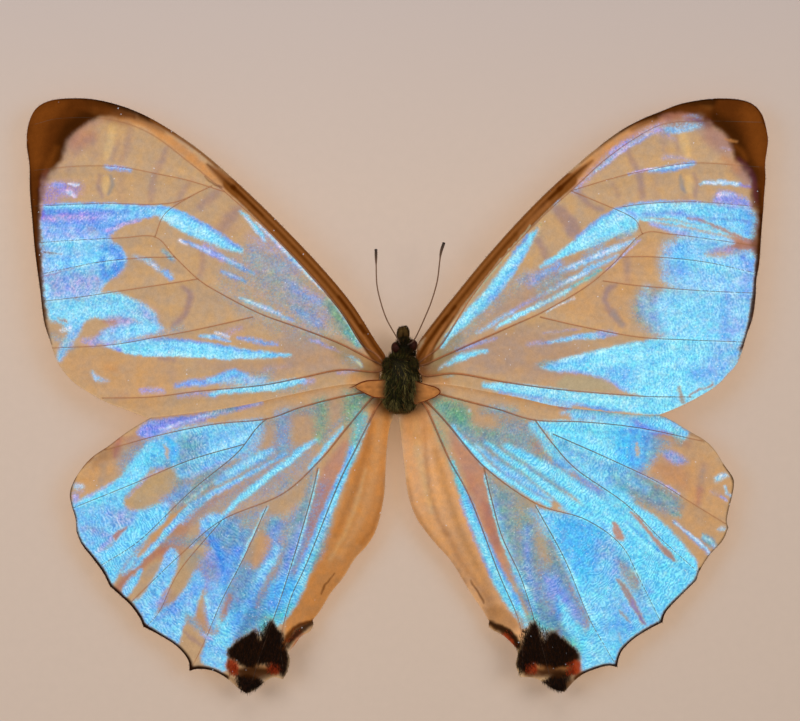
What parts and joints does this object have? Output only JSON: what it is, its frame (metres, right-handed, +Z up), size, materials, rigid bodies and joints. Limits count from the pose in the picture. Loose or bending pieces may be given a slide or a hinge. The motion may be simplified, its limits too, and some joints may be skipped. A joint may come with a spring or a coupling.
{
  "type": "spread butterfly specimen",
  "caption": "Dried butterfly with spread pearly blue wings, furry thorax, clubbed antennae and folded legs, the abdomen missing, resting on its flat underside.",
  "frame": {"origin": "middle of the flat underside of the thorax, where the specimen rests", "axes": "+X to the animal's right, along the wingspan; +Y towards the head; +Z up, the wings' upper side"},
  "size_m": [0.0902, 0.0724, 0.0065],
  "materials": {
    "wing": "pearly, semi-transparent scales, blue and tan",
    "thorax_fur": "dark olive brown fur",
    "head_fur": "short near-black fur",
    "eye": "dark red-brown, faceted, slightly glossy",
    "palp_fur": "brown fur with dark edges",
    "antenna": "thin dull brown rod",
    "leg": "dull brown, finely haired"
  },
  "bodies": {
    "root": {"thorax": "thorax_fur", "head": "head_fur", "left_eye": "eye", "right_eye": "eye", "left_palp": "palp_fur", "right_palp": "palp_fur", "proboscis": "antenna", "left_antenna": "antenna", "right_antenna": "antenna", "left_forewing": "wing", "right_forewing": "wing", "left_hindwing": "wing", "right_hindwing": "wing", "left_foreleg": "leg", "right_foreleg": "leg", "left_midleg": "leg", "right_midleg": "leg", "left_hindleg": "leg", "right_hindleg": "leg"}
  },
  "joints": []
}
